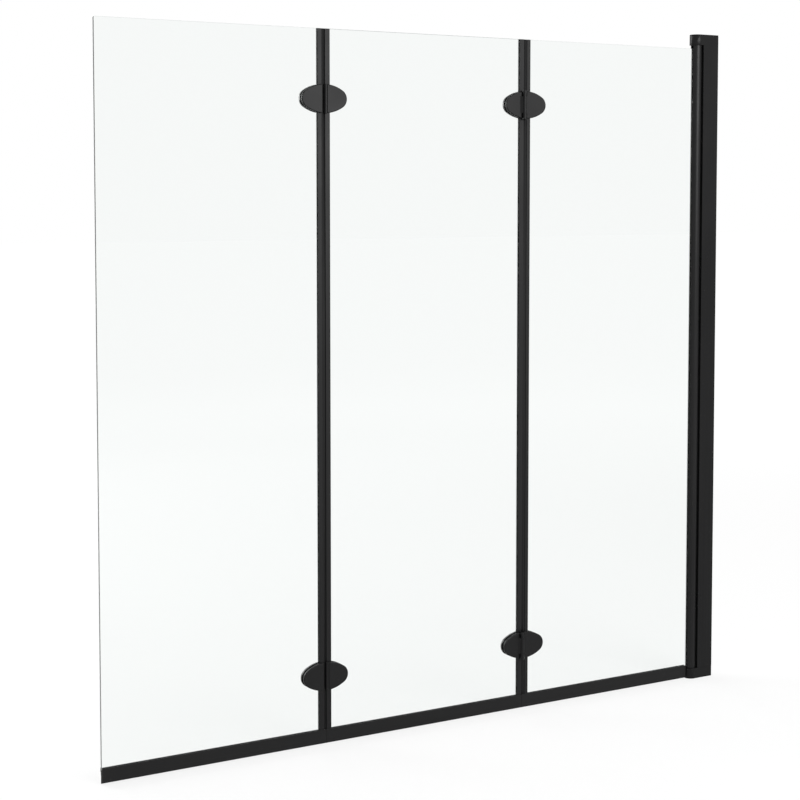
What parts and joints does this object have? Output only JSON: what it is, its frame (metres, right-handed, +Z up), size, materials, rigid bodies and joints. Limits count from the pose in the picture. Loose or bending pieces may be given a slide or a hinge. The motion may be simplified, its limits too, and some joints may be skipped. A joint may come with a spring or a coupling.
{
  "type": "folding bath screen",
  "caption": "Folding glass bath screen of framed panels on oval hinges, with edge strips, a bottom rail and a wall profile whose tube it swings on.",
  "frame": {"origin": "where the pivot axis of the wall profile meets the bath rim, on the underside of the lower bearing block", "axes": "+X to the wall, +Y to the back of the closed screen, +Z up along the pivot axis"},
  "size_m": [1.3, 0.0304, 1.3],
  "materials": {
    "black_profiles": "satin black coating on extruded profiles",
    "black_castings": "satin black powder coat on cast plates and blocks",
    "raw_channel": "plain mill finish, hidden in the jamb",
    "clear_glass": "clear toughened glass with polished edges",
    "black_rubber": "matte black seal",
    "bearing_plastic": "smooth black bearing plastic",
    "steel_hardware": "plain stainless steel",
    "black_screws": "black screws"
  },
  "bodies": {
    "wall_frame": {"wall_channel": "raw_channel", "jamb_profile": "black_profiles", "jamb_wipers": "black_rubber", "lower_bearing_block": "black_castings", "upper_bearing_block": "black_castings", "lower_bearing_bush": "bearing_plastic", "upper_bearing_bush": "bearing_plastic", "top_cover_plate": "black_castings", "jamb_clamp_screws": "black_screws", "block_screws": "black_screws"},
    "wall_panel": {"pivot_tube": "black_profiles", "lower_spigot": "steel_hardware", "upper_spigot": "steel_hardware", "tube_gasket": "black_rubber", "wall_glass": "clear_glass", "wall_edge_profile": "black_profiles", "wall_edge_seal": "black_rubber", "wall_rail": "black_profiles", "wall_drip_seal": "black_rubber", "wall_lower_front_plate": "black_castings", "wall_lower_back_plate": "black_castings", "wall_upper_front_plate": "black_castings", "wall_upper_back_plate": "black_castings", "wall_hinge_gaskets": "black_rubber", "wall_hinge_screws": "steel_hardware", "right_lower_hinge_pin": "steel_hardware", "right_upper_hinge_pin": "steel_hardware"},
    "middle_panel": {"middle_glass": "clear_glass", "middle_right_profile": "black_profiles", "middle_left_profile": "black_profiles", "middle_rail": "black_profiles", "middle_drip_seal": "black_rubber", "middle_right_lower_front_plate": "black_castings", "middle_right_lower_back_plate": "black_castings", "middle_right_upper_front_plate": "black_castings", "middle_right_upper_back_plate": "black_castings", "middle_left_lower_front_plate": "black_castings", "middle_left_lower_back_plate": "black_castings", "middle_left_upper_front_plate": "black_castings", "middle_left_upper_back_plate": "black_castings", "middle_right_hinge_gaskets": "black_rubber", "middle_left_hinge_gaskets": "black_rubber", "middle_right_hinge_screws": "steel_hardware", "middle_left_hinge_screws": "steel_hardware", "right_hinge_bushes": "bearing_plastic", "left_hinge_bushes": "bearing_plastic"},
    "outer_panel": {"outer_glass": "clear_glass", "outer_edge_profile": "black_profiles", "outer_edge_seal": "black_rubber", "outer_rail": "black_profiles", "outer_drip_seal": "black_rubber", "outer_lower_front_plate": "black_castings", "outer_lower_back_plate": "black_castings", "outer_upper_front_plate": "black_castings", "outer_upper_back_plate": "black_castings", "outer_hinge_gaskets": "black_rubber", "outer_hinge_screws": "steel_hardware", "left_lower_hinge_pin": "steel_hardware", "left_upper_hinge_pin": "steel_hardware"}
  },
  "joints": [
    {"name": "wall_pivot", "type": "hinge", "parent": "wall_frame", "child": "wall_panel", "pos_m": [0, 0, 0], "axis": [0, 0, -1], "range_deg": [0, 90]},
    {"name": "right_hinge", "type": "hinge", "parent": "wall_panel", "child": "middle_panel", "pos_m": [-0.419, -0.0115, 0], "axis": [0, 0, 1], "range_deg": [0, 180]},
    {"name": "left_hinge", "type": "hinge", "parent": "middle_panel", "child": "outer_panel", "pos_m": [-0.831, 0.0115, 0], "axis": [0, 0, -1], "range_deg": [0, 180]}
  ]
}
